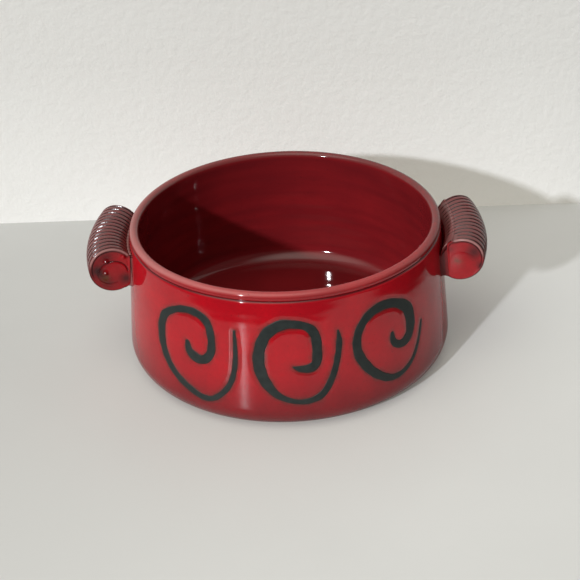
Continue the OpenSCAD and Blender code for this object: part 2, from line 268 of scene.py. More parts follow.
class Nodes:
    """A small helper that writes a material's node tree."""

    def __init__(self, name):
        self.material = bpy.data.materials.new(name)
        self.material.use_nodes = True
        self.tree = self.material.node_tree
        self.tree.nodes.clear()
        self.output = self.add("ShaderNodeOutputMaterial")

    def add(self, kind, **values):
        node = self.tree.nodes.new(kind)
        for key, value in values.items():
            setattr(node, key, value)
        return node

    def link(self, a, b):
        self.tree.links.new(a, b)

    def put(self, socket, value):
        if isinstance(value, bpy.types.NodeSocket):
            self.link(value, socket)
        elif isinstance(value, tuple) and len(value) == 3 and socket.type == "RGBA":
            socket.default_value = (*value, 1)
        else:
            socket.default_value = value

    def attribute(self, name):
        return self.add("ShaderNodeAttribute", attribute_name=name).outputs["Fac"]

    def coordinates(self):
        return self.add("ShaderNodeTexCoord").outputs["Object"]

    def axis(self, name):
        split = self.add("ShaderNodeSeparateXYZ")
        self.link(self.coordinates(), split.inputs[0])
        return split.outputs[name]

    def noise(self, scale, detail=3.0, rough=0.5, stretch=None):
        node = self.add("ShaderNodeTexNoise")
        place = self.coordinates()
        if stretch:
            scaling = self.add("ShaderNodeMapping")
            scaling.inputs["Scale"].default_value = stretch
            self.link(place, scaling.inputs["Vector"])
            place = scaling.outputs["Vector"]
        self.link(place, node.inputs["Vector"])
        node.inputs["Scale"].default_value = scale
        node.inputs["Detail"].default_value = detail
        node.inputs["Roughness"].default_value = rough
        return node.outputs["Fac"]

    def math(self, operation, a, b=0.0, clamp=False):
        node = self.add("ShaderNodeMath", operation=operation, use_clamp=clamp)
        self.put(node.inputs[0], a)
        self.put(node.inputs[1], b)
        return node.outputs[0]

    def times(self, a, b):
        return self.math("MULTIPLY", a, b, clamp=True)

    def spread(self, value, low, high, out_low=0.0, out_high=1.0):
        node = self.add("ShaderNodeMapRange")
        for key, v in zip(("Value", "From Min", "From Max", "To Min", "To Max"),
                          (value, low, high, out_low, out_high)):
            self.put(node.inputs[key], v)
        return node.outputs["Result"]

    def mix(self, share, a, b):
        node = self.add("ShaderNodeMix", data_type="RGBA")
        self.put(node.inputs[0], share)
        self.put(node.inputs[6], a)
        self.put(node.inputs[7], b)
        return node.outputs[2]

    def bump(self, height, strength, distance):
        node = self.add("ShaderNodeBump")
        node.inputs["Strength"].default_value = strength
        node.inputs["Distance"].default_value = distance
        self.link(height, node.inputs["Height"])
        return node.outputs["Normal"]

    def blend(self, kind, share, other):
        """Mixes or adds another shader to the one at the output."""
        before = self.output.inputs["Surface"].links[0].from_socket
        join = self.add(kind)
        if share is not None:
            self.link(share, join.inputs[0])
        self.link(before, join.inputs[-2])
        self.link(other.outputs[0], join.inputs[-1])
        self.link(join.outputs[0], self.output.inputs["Surface"])
        return self.material

    def paint(self, colour, seen):
        """Adds a paleness of its own to the surface, for the rays that see it."""
        glow = self.add("ShaderNodeEmission")
        glow.inputs["Color"].default_value = colour
        self.link(seen, glow.inputs["Strength"])
        self.blend("ShaderNodeAddShader", None, glow)

    def clouds(self):
        return self.times(self.spread(self.noise(9, 3), 0.3, 0.7), 0.3)

    def surface(self, **values):
        shader = self.add("ShaderNodeBsdfPrincipled")
        for key, value in values.items():
            self.put(shader.inputs[key.replace("_", " ")], value)
        self.link(shader.outputs[0], self.output.inputs["Surface"])
        return self.material


# A glaze's colours where it is bright, deep, thin over edges and where a painted highlight lies,
# nearly bare on sharp edges and where a stronger painted highlight lies, pooled and where painted
# shade lies, on the bowl's inside, and in its brown smudges; its coat's roughness, and how
# strongly the clay's tooling shows where it is thin
Glaze = namedtuple("Glaze", "bright deep thin bare pooled inside inside_deep smudge coat tooling")
RED_GLAZE = Glaze(
    bright=(0.49, 0.006, 0.013), deep=(0.31, 0.006, 0.012),
    thin=(0.15, 0.038, 0.036), bare=(0.50, 0.25, 0.23), pooled=(0.045, 0.007, 0.009),
    inside=(0.21, 0.010, 0.013), inside_deep=(0.115, 0.007, 0.010), smudge=(0.055, 0.022, 0.018),
    coat=0.06, tooling=8.0)
HANDLE_GLAZE = Glaze(
    bright=(0.39, 0.003, 0.008), deep=(0.19, 0.003, 0.007),
    thin=(0.130, 0.044, 0.042), bare=(0.50, 0.27, 0.25), pooled=(0.012, 0.002, 0.003),
    inside=(0.19, 0.009, 0.012), inside_deep=(0.115, 0.006, 0.009), smudge=(0.095, 0.026, 0.008),
    coat=0.20, tooling=4.0)
GLAZE_ROUGHNESS, COAT_WEIGHT, COAT_IOR = 0.45, 0.8, 1.5

# Heights in metres and strengths of the fine relief on each finish
PEEL_H, PEEL_STRENGTH = 0.00035, 0.16
CLAY_GRAIN_H, CLAY_GRAIN_STRENGTH = 0.0003, 0.5
PAINT_GRAIN_H, PAINT_GRAIN_STRENGTH = 0.00015, 0.3


def glaze_material(name, glaze):
    """Glossy glaze: mottled, browner where it runs thinner and where a painted highlight lies, paler
    where it is nearly bare and where a stronger painted highlight lies, and darker where it pools and
    where painted shade lies.
    """
    n = Nodes(name)
    cloud = n.spread(n.noise(38, 3), 0.35, 0.68)
    mottle = n.spread(n.noise(420, 2), 0.38, 0.66)
    streak = n.spread(n.noise(60, 2, stretch=(1, 1, 0.22)), 0.35, 0.7)
    colour = n.mix(n.times(cloud, 0.6), glaze.bright, glaze.deep)
    colour = n.mix(n.times(streak, 0.3), colour, glaze.deep)
    colour = n.mix(n.times(mottle, 0.28), colour, glaze.deep)
    inside = n.mix(n.times(cloud, 0.35), glaze.inside, glaze.inside_deep)
    band = n.spread(n.noise(70, 2, stretch=(0.22, 0.22, 1.6)), 0.40, 0.62)
    inside = n.mix(n.times(band, 0.45), inside, glaze.inside_deep)
    colour = n.mix(n.attribute("inside"), colour, inside)
    patchy = n.spread(n.noise(260, 4, 0.6), 0.3, 0.7, 0.7, 1.0)
    thin = n.times(n.attribute("thin"), patchy)
    colour = n.mix(thin, colour, glaze.thin)
    colour = n.mix(n.attribute("bare"), colour, glaze.bare)
    colour = n.mix(n.attribute("pool"), colour, glaze.pooled)
    blotch = n.spread(n.noise(170, 3), 0.30, 0.55)
    colour = n.mix(n.times(n.attribute("smudge"), blotch), colour, glaze.smudge)
    speck = n.spread(n.noise(900, 1), 0.72, 0.76)
    colour = n.mix(n.times(speck, 0.5), colour, glaze.pooled)
    peel = n.math("ADD", n.noise(120, 2), n.math("MULTIPLY", n.noise(700, 2), 0.10))
    tooled = n.times(n.attribute("tooled"), n.noise(330, 2))
    peel = n.math("ADD", peel, n.math("MULTIPLY", tooled, glaze.tooling))
    return n.surface(
        Base_Color=colour,
        Roughness=GLAZE_ROUGHNESS,
        Specular_IOR_Level=0.0,
        Coat_Weight=COAT_WEIGHT,
        Coat_Roughness=glaze.coat,
        Coat_IOR=COAT_IOR,
        Normal=n.bump(peel, PEEL_STRENGTH, PEEL_H),
    )


def clay_material():
    """The bare clay of the ring that the bowl stands on."""
    n = Nodes("bare_clay")
    grain = n.noise(1400, 3, 0.7)
    colour = n.mix(n.spread(n.noise(150, 4), 0.3, 0.7), (0.50, 0.37, 0.27), (0.38, 0.26, 0.18))
    colour = n.mix(n.spread(grain, 0.62, 0.7), colour, (0.16, 0.09, 0.06))
    return n.surface(
        Base_Color=colour,
        Roughness=n.spread(grain, 0.3, 0.7, 0.75, 0.95),
        Normal=n.bump(grain, CLAY_GRAIN_STRENGTH, CLAY_GRAIN_H),
    )


def line_material():
    """Matt greenish black paint, a little browner along its edges."""
    n = Nodes("painted_line")
    wash = n.spread(n.noise(240, 4, 0.6), 0.35, 0.7)
    colour = n.mix(wash, (0.011, 0.016, 0.015), (0.022, 0.029, 0.027))
    colour = n.mix(n.times(n.attribute("edge"), 0.35), colour, (0.040, 0.020, 0.018))
    grain = n.noise(1500, 3, 0.6)
    return n.surface(
        Base_Color=colour,
        Roughness=n.spread(wash, 0, 1, 0.5, 0.68),
        Specular_IOR_Level=0.3,
        Normal=n.bump(grain, PAINT_GRAIN_STRENGTH, PAINT_GRAIN_H),
    )


red_glaze = glaze_material("red_glaze", RED_GLAZE)
handle_glaze = glaze_material("handle_glaze", HANDLE_GLAZE)
bare_clay = clay_material()
painted_line = line_material()


def wall_r(z):
    """The straight wall's outer radius at a height."""
    return BELLY_R - LEAN * (z - BELLY_Z)


STROKE_STEPS = 7


def stroke_line(table):
    """The stroke's middle line and width in mm, with a brush's slight unevenness."""
    line = curve(np.array(table) / 100 * SCROLL_HALF_H, STROKE_STEPS)
    run = np.r_[0, np.cumsum(np.hypot(*np.diff(line[:, :2], axis=0).T))]
    line[:, 2] *= 1 + 0.04 * np.sin(run * 0.7 + 1.0) + 0.012 * np.sin(run * 1.9)
    return line


LINES = {name: (math.radians(angle), stroke_line(table)) for name, (angle, table) in SCROLLS.items()}
FAR = 99.0
LINE_REACH = 0.45


def stroke_distance(x, z, line):
    """Distance from points to a stroke's edge, negative inside it."""
    p = np.c_[x, z]
    best = np.full(len(p), FAR)
    for a, b in zip(line[:-1], line[1:]):
        step = b[:2] - a[:2]
        gap = p - a[:2]
        t = np.clip(gap @ step / (step @ step), 0, 1)
        half = (a[2] + (b[2] - a[2]) * t) / 2
        np.minimum(best, np.hypot(*(gap - t[:, None] * step).T) - half, out=best)
    return best


def line_distance(angle, z):
    """Distance from the wall's points at one height to the nearest painted line's edge. Only
    points within the line's reach, in radians round the bowl, are measured."""
    best = np.full(angle.shape, FAR)
    r = wall_r(z)
    for middle, line in LINES.values():
        turned = (angle - middle + math.pi) % TURN - math.pi
        near = np.abs(turned) < LINE_REACH
        x = r * np.sin(turned[near])
        height = np.full(x.shape, z - SCROLL_Z)
        best[near] = np.minimum(best[near], stroke_distance(x, height, line))
    return best


# The bowl is one lathe mesh, from the underside's middle round the rim to the floor's middle.
# These are the numbers of points round it on the wall, elsewhere and near the axis, the rings
# there, and the step between rings on the wall.
FINE, COARSE, CENTRE = 1152, 288, 72
CENTRE_R = 24.0
UNDER_MIDDLE = (1, 6, 12, 18)
FLOOR_MIDDLE = (20, 16.5, 13, 10, 7.5, 5, 3, 1)
WALL_STEP = 0.45

# The foot ring's rounded edges and two rings on its flat, and how far the hollow is domed
FOOT_IN = FOOT_R - FOOT_W
FOOT_EDGE, FOOT_FLAT = 0.9, (2.4, 4.2)
DOME, DOME_EDGE = 0.2, 0.05

# Angles on the corner's arc where it leaves the foot and where the rings get finer, and on
# the rim's bead where the groove's curve ends and where the inner wall begins
CORNER_LOW, CORNER_SPLIT, CORNER_NEXT = -63, -30, -27.5
BEAD_LOW, BEAD_END = -52, 176
GROOVE_BEND_H, GROOVE_EDGE_H = 1.3, 0.5
Row = namedtuple("Row", "r z count zone")


def foot_points():
    """The foot ring's profile from the hollow out to the rounded corner."""
    hollow_edge = (FOOT_IN - 2.6, FOOT_RECESS + 0.04)
    start = arc(CORNER_C, CORNER_R, CORNER_LOW, CORNER_LOW, 1)[0]
    points = bend(hollow_edge, (FOOT_IN - 1.6, FOOT_RECESS), (FOOT_IN - FOOT_EDGE, 1.0), 4)
    points += bend((FOOT_IN - 0.5, 0.6), (FOOT_IN, 0.05), (FOOT_IN + FOOT_EDGE, 0.0), 4)
    points += [(FOOT_IN + across, 0.0) for across in FOOT_FLAT] + [(FOOT_R - FOOT_EDGE, 0.0)]
    points += bend((FOOT_R - 0.5, 0.0), (FOOT_R + 0.25, 0.02), start, 4)[:-1]
    return points


def groove_points():
    """The curve from the straight wall in to the groove under the rim, and on to the bead."""
    bead_start = arc(BEAD_C, BEAD_R, BEAD_LOW, BEAD_LOW, 1)[0]
    groove = (GROOVE_R + 1.0, bead_start[1] - 0.2)
    turn_z, edge_z = groove[1] - GROOVE_BEND_H, groove[1] - GROOVE_EDGE_H
    points = bend((wall_r(turn_z), turn_z), (wall_r(edge_z), edge_z), groove, 7)
    return points + bend(groove, (groove[0] - 0.1, groove[1] + 0.2), bead_start, 3)[1:-1]


def bowl_rows():
    """The rings of the bowl's mesh in order, each with its radius, height and zone."""
    rows = []

    def add(points, count, zone):
        rows.extend(Row(r, z, count, zone) for r, z in points)

    def underside(r):
        return r, FOOT_RECESS + DOME_EDGE + DOME * (1 - r / FOOT_IN)

    add(map(underside, UNDER_MIDDLE), CENTRE, "under")
    add(map(underside, np.linspace(CENTRE_R, FOOT_IN - 3, 14)), COARSE, "under")
    add(foot_points(), COARSE, "foot")
    add(arc(CORNER_C, CORNER_R, CORNER_LOW, CORNER_SPLIT, 14), COARSE, "corner")
    add(arc(CORNER_C, CORNER_R, CORNER_NEXT, math.degrees(LEAN_ANGLE), 16), FINE, "wall")
    turn = groove_points()
    heights = np.arange(BELLY_Z + WALL_STEP, turn[0][1] - 0.1, WALL_STEP)
    add([(wall_r(z), z) for z in heights], FINE, "wall")
    add(turn, COARSE, "turn")
    add(arc(BEAD_C, BEAD_R, BEAD_LOW, BEAD_END, 38), COARSE, "rim")
    high = np.array([RIM_R - RIM_T, BEAD_C[1]])
    low = np.array([INNER_LOW_R, FLOOR_Z + FILLET_R])
    add([high + (low - high) * t for t in np.linspace(0.02, 0.985, 60)], COARSE, "inner_wall")
    fillet_c = (INNER_LOW_R - FILLET_R, FLOOR_Z + FILLET_R)
    add(arc(fillet_c, FILLET_R, 0, -90, 18), COARSE, "fillet")
    add([(r, FLOOR_Z) for r in np.linspace(fillet_c[0] - 1.6, CENTRE_R, 38)], COARSE, "floor")
    add([(r, FLOOR_Z) for r in FLOOR_MIDDLE], CENTRE, "floor")
    return rows


# The glaze sinks softly to each painted line and runs under it, and the paint's skin stands
# a little above it. A span says where something starts and over what stretch it rises, and
# where it ends and over what stretch it falls.
SHOULDER_SINK, SHOULDER_W = 0.22, 2.6
UNDER_SINK, UNDER_W = 0.2, 0.6
SINK_SPAN = (9.0, 4.0, SHOULDER_Z + 1.0, 3.0)
SKIN_SUNK = 0.10

# Heights of the throwing rings that the glaze leaves to be seen, their pitches and spans
OUTER_RING, OUTER_PITCH, OUTER_RING_START, OUTER_RING_RISE = 0.008, 6.7, 6.0, 12.0
INNER_RING, INNER_PITCH, INNER_RING_SPAN = 0.05, 8.5, (20.0, 8.0, 84.0, 10.0)
FLOOR_RING, FLOOR_PITCH, FLOOR_RING_SPAN = 0.006, 9.5, (0.0, 12.0, 80.0, 6.0)
FLOOR_RISE, FLOOR_RISE_R = 0.30, 14.0

# Outside, the wall is darker from this height down over this stretch: painted shade towards the foot
LOW_WALL_SHADE, LOW_WALL_SHADE_TOP, LOW_WALL_SHADE_H = 0.70, 52.0, 50.0

# Beside the painted lines it runs thin in a narrow band and brown in a wider one
LINE_THIN, LINE_THIN_AT, LINE_THIN_W = 0.30, 0.35, 0.75
LINE_SMUDGE, LINE_SMUDGE_AT, LINE_SMUDGE_W = 0.6, 0.2, 1.5


def channel_push(distance):
    """How the glaze sinks towards each painted line and runs under it."""
    beside = SHOULDER_SINK * (1 - smoothstep(distance / SHOULDER_W))
    return -beside - UNDER_SINK * smoothstep(-distance / UNDER_W)


def outer_glaze(row, angle, glaze):
    """The wall's pushes and the state of its glaze at one height."""
    z = row.z
    rings = np.sin(TURN * z / OUTER_PITCH + 0.9 * np.sin(angle))
    push = OUTER_RING * rings * smoothstep((z - OUTER_RING_START) / OUTER_RING_RISE)
    # Painted shade on the lower wall
    glaze["pool"] += LOW_WALL_SHADE * smoothstep((LOW_WALL_SHADE_TOP - z) / LOW_WALL_SHADE_H) ** 1.3
    if row.zone == "corner":
        return push
    distance = line_distance(angle, z)
    glaze["thin"] += LINE_THIN * hill(distance - LINE_THIN_AT, LINE_THIN_W)
    glaze["tooled"] += glaze["thin"]
    beyond = np.clip(distance - LINE_SMUDGE_AT, 0, None)
    glaze["smudge"] += LINE_SMUDGE * np.exp(-beyond / LINE_SMUDGE_W)
    return push + channel_push(distance) * within(z, *SINK_SPAN)


# The angles on the bead's section, from -90 below it to 90 on top and 180 inside, between
# which the glaze runs thin
BEAD_SPAN = (-24.0, 34.0, 180.0, 46.0)


def rim_glaze(row, angle, glaze):
    """The rim's glaze runs thinner over the bead and pools in the groove. Round the bowl its colour
    follows the light: darker under the bead, partly painted shade, and at the back, painted shade;
    paler at the left and along the front's top, painted highlight and reflection; and redder at the
    front."""
    around = math.degrees(math.atan2(row.z - BEAD_C[1], row.r - BEAD_C[0])) % 360
    if around > 270:
        around -= 360
    bead = within(around, *BEAD_SPAN)
    front, back = smoothstep(-np.sin(angle)), smoothstep(np.sin(angle))
    left = smoothstep(-np.cos(angle))
    # Darker under the bead, gathered glaze and painted shade, and at the back, painted shade
    glaze["pool"] += 0.8 * (1 - smoothstep((around + 50) / 20)) + 0.3 * back * bead
    upper, outer = smoothstep((around - 5) / 40), smoothstep((125 - around) / 75)
    # Paler at the left and along the front's top, a painted highlight and reflection; redder at the
    # front
    glaze["thin"] += (0.95 - front * (0.45 + 0.35 * upper) - 0.30 * left) * bead
    glaze["bare"] += (0.20 * front * outer + 0.44 * left * (0.45 + 0.55 * outer)) * upper * bead
    glaze["tooled"] += 0.6 * bead
    glaze["inside"] += smoothstep((around - 112) / 50)


# The inner wall is palest at mid height and darker towards the rim and the floor
INNER_DARKEN, INNER_PALEST_Z, INNER_DARKEN_H = 0.22, 40.0, 45.0


def inside_push(row, angle):
    """Throwing rings on the inner wall and floor, and the floor's slight rise in its middle."""
    if row.zone == "inner_wall":
        rings = np.sin(TURN * row.z / INNER_PITCH + angle + 0.4 * np.sin(2 * angle))
        return INNER_RING * rings * within(row.z, *INNER_RING_SPAN)
    if row.zone == "floor":
        rings = np.sin(TURN * row.r / FLOOR_PITCH + angle) * within(row.r, *FLOOR_RING_SPAN)
        return FLOOR_RING * rings + FLOOR_RISE * hill(row.r, FLOOR_RISE_R)
    return 0.0


# The groove under the rim is darker from just below the bead: glaze gathered there and painted shade
# under the bead
GROOVE_POOL_AND_SHADE, GROOVE_SHADE_LOW, GROOVE_SHADE_RISE = 0.8, 3.3, 0.8


def make_bowl():
    """The bowl, with the state of its glaze and its painted light and shade on its points."""
    rows = bowl_rows()
    way = np.gradient(np.array([(row.r, row.z) for row in rows]), axis=0)
    way /= np.hypot(*way.T)[:, None]
    points = []
    states = {"thin": [], "bare": [], "tooled": [], "pool": [], "inside": [], "smudge": []}
    for row, (along_r, along_z) in zip(rows, way):
        angle = np.arange(row.count) * TURN / row.count
        glaze = {key: np.zeros(row.count) for key in states}
        push = np.zeros(row.count)
        if row.zone in ("wall", "corner"):
            push += outer_glaze(row, angle, glaze)
        elif row.zone == "turn":
            # Gathered glaze and painted shade in the groove
            past = row.z - BEAD_C[1] + GROOVE_SHADE_LOW
            glaze["pool"] += GROOVE_POOL_AND_SHADE * smoothstep(past / GROOVE_SHADE_RISE)
        elif row.zone == "rim":
            rim_glaze(row, angle, glaze)
        elif row.zone in ("inner_wall", "fillet", "floor"):
            glaze["inside"] += 1.0
            glaze["pool"] += INNER_DARKEN * smoothstep(np.abs(row.z - INNER_PALEST_Z) / INNER_DARKEN_H)
            push += inside_push(row, angle)
        stray = wobble(angle, row.z) if row.zone not in ("under", "foot") else 0.0
        r = row.r + push * along_z + stray
        z = row.z - push * along_r + rim_wave(angle, row.z)
        points.append(round_bowl(r, angle, z))
        for key, values in glaze.items():
            states[key].append(np.clip(values, 0, 1))
    values = {key: np.concatenate(parts) for key, parts in states.items()}
    bowl = make_object("bowl", np.vstack(points), stitch([row.count for row in rows]), values)
    bowl.data.materials.append(red_glaze)
    bowl.data.materials.append(bare_clay)
    bare_the_foot(bowl.data)
    return bowl


BARE_TOP, BARE_PAST = 0.75, 1.2


def bare_the_foot(mesh):
    """The ring that the bowl stands on has no glaze, nor has a little of the hollow's edge."""
    centres = np.empty(len(mesh.polygons) * 3)
    mesh.polygons.foreach_get("center", centres)
    x, y, z = centres.reshape(-1, 3).T / MM
    bare = (z < BARE_TOP) & (np.hypot(x, y) > FOOT_IN - BARE_PAST)
    mesh.polygons.foreach_set("material_index", bare.astype(np.int32))


# The paint's skin: points across a stroke, its least half width, how far its edges and its
# grain go down, and the angles of the rings that close a stroke's round ends
STROKE_ACROSS = 11
STROKE_LEAST, SKIN_EDGE, SKIN_GRAIN = 0.02, 0.06, 0.02
STROKE_CAPS = np.radians(np.linspace(90, 8, 7))


def stroke_sections(line):
    """Places, directions and half widths along a stroke, with its round ends."""
    way = np.gradient(line[:, :2], axis=0)
    way /= np.hypot(*way.T)[:, None]

    def cap(end, outwards, angles):
        half = line[end, 2] / 2
        reach = outwards * half * way[end]
        return [(line[end, :2] + reach * math.sin(a), way[end], half * math.cos(a)) for a in angles]

    body = [(p[:2], w, p[2] / 2) for p, w in zip(line, way)]
    return cap(0, -1, STROKE_CAPS) + body + cap(-1, 1, STROKE_CAPS[::-1])


def round_bowl(r, angle, z):
    """Points at radii and angles round the bowl's axis."""
    return np.c_[r * np.cos(angle), r * np.sin(angle), z]


def make_line(name):
    """One painted line: a thin uneven skin of paint lying in its channel."""
    middle, line = LINES[name]
    across = np.linspace(-1, 1, STROKE_ACROSS)
    loops, edge = [], []
    for k, (p, way, half) in enumerate(stroke_sections(line)):
        side = np.array([-way[1], way[0]])
        flat = p + across[:, None] * max(half, STROKE_LEAST) * side
        z = flat[:, 1] + SCROLL_Z
        r = wall_r(z)
        angle = middle + np.arcsin(flat[:, 0] / r)
        grain = SKIN_GRAIN * np.sin(k * 0.83 + across * 2.1) * np.sin(k * 0.31)
        top = r - SKIN_SUNK - SKIN_EDGE * across ** 4 + grain + wobble(angle, z)
        under = r - LINE_DEPTH + wobble(angle, z)
        loops.append(np.vstack([round_bowl(top, angle, z), round_bowl(under, angle, z)[::-1]]))
        edge.append(np.r_[np.abs(across) ** 4, np.abs(across)])
    faces = stitch([2 * len(across)] * len(loops))
    values = {"edge": np.concatenate(edge)}
    obj = make_object(name.replace("_scroll", "_line"), np.vstack(loops), faces, values)
    obj.data.materials.append(painted_line)
    return obj


# The handles' rolls: points round each roll, and where the rings lie, about each groove as
# shares of its half width and between grooves as shares of the pitch. The section is softened
# where it is pressed flat, and the grooves stray from even places by up to the jitter.
ROUND = 256
HALF_GROOVE_SHARES = (0.03, 0.1, 0.25, 0.5, 0.75, 0.95, 1.1)
GROOVE_RING_SHARES = [-share for share in HALF_GROOVE_SHARES[::-1]] + list(HALF_GROOVE_SHARES)
CREST_RING_SHARES = (0.34, 0.5, 0.66)
RING_GAP = 0.05
PRESS_SOFT = 0.7
JITTER = 0.15
CROWN_SHARE = 0.10


def roll_centre(h):
    """A roll's middle: its radius from the bowl's axis and its height."""
    z = BOWL_H - h.drop - h.height / 2
    return wall_r(z) + h.neck + h.width / 2 - h.press, z


def section(h, angle, sunk):
    """A roll's section, a leaning ellipse pressed flat along the wall, as radii and heights."""
    centre_r, centre_z = roll_centre(h)
    r = centre_r + (h.width / 2 - sunk) * np.cos(angle) + h.lean / 2 * np.sin(angle)
    z = centre_z + (h.height / 2 - sunk) * np.sin(angle)
    return soft_max(r, wall_r(z) + h.neck + sunk, PRESS_SOFT), z


def on_handle(h, r, z, s):
    """Points at a place along a handle, which bends round the bowl."""
    angle = s / roll_centre(h)[0] + h.turn
    return round_bowl(r, angle, z)


def rib_pitch(h):
    return (h.length - 2 * LIP_W) / RIB_COUNT


def groove_places(h):
    """Middles of the grooves along a roll, unevenly spaced as a hand tool leaves them."""
    i = np.arange(RIB_COUNT + 1)
    jitter = np.where((i > 0) & (i < RIB_COUNT), JITTER * np.sin(4.7 * i + h.seed), 0.0)
    return LIP_W - h.length / 2 + i * rib_pitch(h) + jitter


# In degrees on a roll's section: how early and over how much its end runs on into its neck
JOIN_EARLY, JOIN_FADE = 8.0, 12.0

# In mm from a handle's front end: how long the ribs stop short, and how long a thick neck is
# plain, each with the stretch over which that fades
RIBS_STOP = (4.0, 9.0)
NECK_PLAIN = (9.0, 7.0)


def neck_side(h, angle):
    """1 where a roll's end runs on into its neck, 0 elsewhere."""
    deg = np.degrees(angle) % 360
    return within(deg, h.neck_top - JOIN_EARLY, JOIN_FADE, NECK_UNDER, JOIN_FADE)


def front_end(h, s, plain, fade):
    """1 within a plain stretch at a handle's front end, fading to 0 further back."""
    from_front = h.length / 2 + s * math.cos(h.turn)
    return 1 - smoothstep((from_front - plain) / fade)


def rib_share(h, angle, s):
    """1 where the ribs are full, 0 along the plain neck."""
    deg = np.degrees(angle) % 360
    end = h.neck_top + RIB_FADE - (h.rib_short + RIB_FADE) * front_end(h, s, *RIBS_STOP)
    return smoothstep(np.maximum((end - deg) / RIB_FADE, (deg - NECK_UNDER) / RIB_FADE))


def rib_groove(h, s):
    """Depth share between the ribs at a place along the roll: steep narrow grooves between
    slightly crowned ribs."""
    gap = np.abs(s - groove_places(h)).min()
    cut = max(1 - gap / GROOVE_HALF_W, 0.0) ** 1.1
    crown = CROWN_SHARE * max(1 - 2 * gap / rib_pitch(h), 0.0) ** 2
    return min(cut + crown, 1.0)


def roll_places(h):
    """Where the rings lie between a roll's two rounded ends."""
    grooves = groove_places(h)
    places = [g + share * GROOVE_HALF_W for g in grooves for share in GROOVE_RING_SHARES]
    places += [g + share * rib_pitch(h) for g in grooves[:-1] for share in CREST_RING_SHARES]
    end = h.length / 2 - END_R - RING_GAP
    return sorted(s for s in places if abs(s) < end)


# The seam on an end starts at this angle, goes this part of a turn and winds in by a share.
# Its width, height and how low it lies are shares of the roll's half width and half height.
SEAM_START, SEAM_TURNS, SEAM_WIND_SHARE = 178.0, 0.8, 0.12
SEAM_WIDTH_SHARE, SEAM_HEIGHT_SHARE, SEAM_LOW_SHARE = 0.75, 0.53, 0.14


def seam_points(h):
    """The rolled slab's seam on an end: from the neck over the top and down the outer side."""
    t = np.linspace(0, 1, 60)
    a = np.radians(SEAM_START - t * SEAM_TURNS * 360)
    wind = 1 - SEAM_WIND_SHARE * t
    half_w = (h.width - h.press) / 2 * SEAM_WIDTH_SHARE
    middle = h.press - h.width / 2 + SEAM_INSET + half_w
    x = middle + half_w * wind * np.cos(a)
    z = h.height / 2 * (SEAM_HEIGHT_SHARE * wind * np.sin(a) - SEAM_LOW_SHARE)
    return x, z, t


def seam_share(side, x, z):
    """How deep the seam is at points of an end, deepest over the top."""
    line_x, line_z, along = seam_points(HANDLES[side])
    d = np.hypot(x[:, None] - line_x, z[:, None] - line_z)
    strength = 1 - 0.75 * smoothstep((along[d.argmin(1)] - 0.33) / 0.15)
    return SEAM_SHARES[side] * strength * hill(d.min(1), SEAM_W * 0.55)


def spot(x, z, place, reach):
    """1 at a place on an end face, fading to 0 over about its reach."""
    return hill(np.hypot(x - place[0], z - place[1]), reach)


def end_dent(side, x, z, share):
    """Depth of an end face behind its lip, where share is 1 at the roll's edge."""
    h = HANDLES[side]
    step = END_STEP * smoothstep(0.6 + z / h.height * 1.6) * smoothstep((0.97 - share) / 0.06)
    pillow = PILLOW_H * spot(x, z, PILLOW_PLACE, PILLOW_R)
    *dimple_place, reach, depth = END_DIMPLES[side]
    dimple = depth * spot(x, z, dimple_place, reach)
    drops = sum(DROP_H * spot(x, z, place, DROP_R) for place in END_DROPS[side])
    return step + END_SINK + SEAM_DEPTH * seam_share(side, x, z) - pillow + dimple - drops


def end_pool_and_shade(side, x, z, share):
    """How dark an end face is: glaze gathered in the seam, a dark line behind the lip's top that is
    gathered glaze and painted shade, and painted shade and dark reflections in places.
    """
    h = HANDLES[side]
    pool = 0.85 * seam_share(side, x, z)
    joined = neck_side(h, np.arctan2(z, x))
    # A dark line behind the lip's top: gathered glaze and painted shade
    pool += 0.8 * hill(share - 0.93, 0.045) * smoothstep(0.5 + z / h.height * 1.4) * (1 - joined)
    # Painted shade and dark reflections in places
    for *shade_place, reach, strength in END_PAINTED_SHADES[side]:
        pool += strength * spot(x, z, shade_place, reach)
    return np.clip(pool, 0, 0.9)


def handle_state(thin, pool):
    """The values that the glaze needs on a handle's points; where the first is above 1 the glaze is
    nearly bare, which on lit edges and tops is a painted highlight.
    """
    none = np.zeros(len(thin))
    covered = np.minimum(thin, 1)
    return {"thin": covered, "bare": np.clip(thin - 1, 0, 1), "tooled": covered,
            "pool": pool, "inside": none, "smudge": none}


# Rings on an end face as shares of the roll's size, close together near its edge, the steps
# round that edge, and how far the roll swells unevenly
CAP_SHARES = np.r_[np.linspace(0.03, 0.86, 56), np.linspace(0.88, 1, 9)]
EDGE_STEPS = 6
SWELL = 0.05


